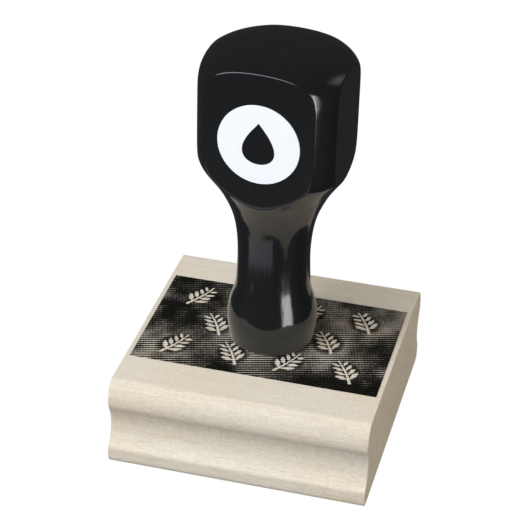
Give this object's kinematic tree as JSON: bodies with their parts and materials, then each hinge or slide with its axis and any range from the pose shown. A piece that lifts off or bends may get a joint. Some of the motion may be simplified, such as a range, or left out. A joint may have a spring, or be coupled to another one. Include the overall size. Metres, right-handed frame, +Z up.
{
  "type": "rubber stamp",
  "caption": "Wooden rubber stamp with a turned black handle on a moulded maple block, printed index film on top, foam cushion and rubber die below.",
  "frame": {"origin": "centre of the rubber die's printing face, the lowest plane of the stamp", "axes": "+Z up along the handle's axis, +X along the block's grain to the right when the label faces the user, -Y towards the user on the label's side"},
  "size_m": [0.0636, 0.0662, 0.1064],
  "materials": {
    "maple": "bare sanded maple, pale, long grain across the width, end grain on the two sawn ends",
    "index_print": "clear film printed in black halftone, the wood showing through the light parts",
    "zinc": "bright zinc plate",
    "black_lacquer": "turned wood under high-gloss black lacquer",
    "label_white": "smooth white vinyl with a plain black drop mark",
    "brass": "machined brass",
    "adhesive": "clear yellowish adhesive film",
    "foam": "closed-cell foam, off-white, matte",
    "rubber": "vulcanised grey rubber, matte"
  },
  "bodies": {
    "block": {"mount_block": "maple", "index_film": "index_print", "mount_screw": "zinc", "upper_adhesive": "adhesive", "foam_cushion": "foam"},
    "insert": {"threaded_insert": "brass"},
    "handle": {"handle": "black_lacquer", "handle_label": "label_white"},
    "die": {"rubber_die": "rubber", "lower_adhesive": "adhesive"}
  },
  "joints": [
    {"name": "handle_lift", "type": "slide", "parent": "block", "child": "insert", "axis": [0, 0, 1], "range_m": [0, 0.0112]},
    {"name": "handle_turn", "type": "hinge", "parent": "insert", "child": "handle", "pos_m": [0, 0, 0.02862], "axis": [0, 0, 1], "range_deg": [0, 5040.5]},
    {"name": "die_press", "type": "slide", "parent": "block", "child": "die", "axis": [0, 0, 1], "range_m": [0, 0.0008], "stiffness_N_per_m": 1000, "deforming": ["foam_cushion"]}
  ],
  "couplings": [
    {"joint": "handle_turn", "follows": "handle_lift", "rad_per_m": 7854}
  ]
}
